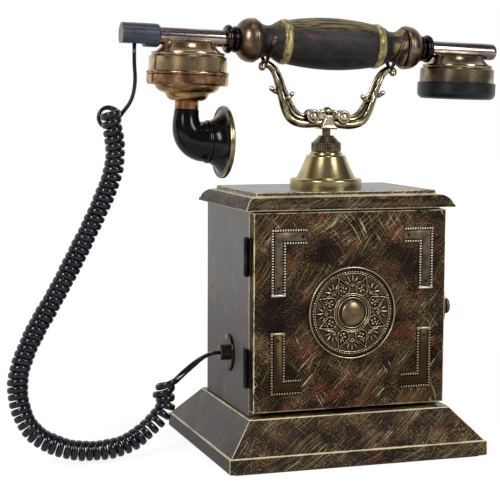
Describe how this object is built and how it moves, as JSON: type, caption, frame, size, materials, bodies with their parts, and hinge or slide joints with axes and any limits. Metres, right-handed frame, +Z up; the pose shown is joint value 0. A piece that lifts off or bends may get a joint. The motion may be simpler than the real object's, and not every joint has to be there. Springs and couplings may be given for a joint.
{
  "type": "telephone",
  "caption": "Antique-style cabinet telephone with a hinged front door over a dial, a cast scroll cradle on a bell pedestal, and a handset with a horn mouthpiece and a curly cord.",
  "frame": {"origin": "middle of the base, on the surface that the telephone stands on", "axes": "+X to the right along the front, +Y towards the back, +Z up"},
  "size_m": [0.3614, 0.154, 0.303],
  "materials": {
    "painted_wood": "dark paint with dry-brushed gilt and copper strokes, satin",
    "grip_wood": "near-black paint with gilt bands, satin",
    "felt": "pressed felt",
    "steel": "zinc plated",
    "antique_brass": "antique brass, polished",
    "antique_copper": "antique copper, polished",
    "antique_bronze": "dark bronze with rubbed high points",
    "dark_metal": "blackened metal",
    "dark_chrome": "dark nickel, polished",
    "black_bakelite": "moulded, glossy",
    "black_rubber": "satin",
    "plug_plastic": "satin",
    "cord_cover": "soft glossy jacket",
    "ivory_enamel": "enamel",
    "board_green": "laminate"
  },
  "bodies": {
    "cabinet": {"felt_pad": "felt", "bottom_cover": "steel", "bottom_screws": "steel", "base_plinth": "painted_wood", "left_side_panel": "painted_wood", "right_side_panel": "painted_wood", "rear_panel": "painted_wood", "top_cornice": "painted_wood", "top_board": "painted_wood", "dial_fascia": "painted_wood", "case_hinge_leaves": "dark_metal", "hinge_pins": "dark_metal", "catch_magnet": "black_rubber", "cord_flange": "antique_bronze", "flange_screws": "dark_metal", "cord_grommet": "black_rubber", "pedestal_bell": "antique_brass", "pedestal_nut": "antique_bronze", "dial_body": "antique_brass", "number_ring": "ivory_enamel", "finger_stop": "antique_brass", "ringer_frame": "steel", "ringer_coils": "antique_copper", "ringer_gongs": "antique_brass", "circuit_board": "board_green", "line_jack": "black_bakelite", "hook_switch": "steel", "hook_spring": "steel", "cord_curl": "cord_cover", "cord_lower_lead": "cord_cover"},
    "hook": {"hook_post": "antique_brass", "cradle_yoke": "antique_brass"},
    "switch_arm": {"switch_lever": "steel"},
    "dial": {"finger_wheel": "antique_brass", "dial_spindle": "steel", "dial_cap": "antique_brass"},
    "door": {"door_panel": "painted_wood", "door_hinge_leaves": "dark_metal", "corner_plates": "antique_bronze", "plate_nails": "dark_metal", "medallion": "antique_bronze", "door_pull": "antique_bronze", "catch_strike": "steel"},
    "striker": {"clapper": "steel"},
    "handset": {"handle_grip": "grip_wood", "grip_end_domes": "antique_copper", "tube_collars": "dark_chrome", "handset_tube": "dark_chrome", "cord_plug": "plug_plastic", "transmitter_case": "antique_brass", "transmitter_ring": "antique_copper", "transmitter_cover": "antique_copper", "mouth_collar": "antique_copper", "mouth_elbow": "black_bakelite", "mouth_horn": "black_bakelite", "horn_rim": "antique_brass", "receiver_case": "antique_brass", "receiver_cap": "black_rubber", "capsule_inserts": "black_bakelite", "cord_upper_lead": "cord_cover"}
  },
  "joints": [
    {"name": "door_swing", "type": "hinge", "parent": "cabinet", "child": "door", "pos_m": [-0.072, -0.0442, 0.1035], "axis": [0, 0, -1], "range_deg": [0, 110]},
    {"name": "handset_lift", "type": "slide", "parent": "cabinet", "child": "handset", "axis": [0, 0, 1], "range_m": [0, 0.12]},
    {"name": "hook_rise", "type": "slide", "parent": "cabinet", "child": "hook", "axis": [0, 0, 1], "range_m": [0, 0.006], "deforming": ["hook_spring"]},
    {"name": "switch_rise", "type": "hinge", "parent": "cabinet", "child": "switch_arm", "pos_m": [-0.024, 0, 0.147], "axis": [0, -1, 0], "range_deg": [0, 8]},
    {"name": "dial_turn", "type": "hinge", "parent": "cabinet", "child": "dial", "pos_m": [0, -0.028, 0.104], "axis": [0, 1, 0], "range_deg": [0, 330], "stiffness_Nm_per_rad": 0.004, "springref_deg": -34.38},
    {"name": "clapper_swing", "type": "hinge", "parent": "cabinet", "child": "striker", "pos_m": [0, 0.034, 0.116], "axis": [0, 1, 0], "range_deg": [-2.5, 2.5]}
  ],
  "couplings": [
    {"joint": "hook_rise", "follows": "handset_lift", "ratio": 0.05},
    {"joint": "switch_rise", "follows": "handset_lift", "rad_per_m": 1.15}
  ]
}
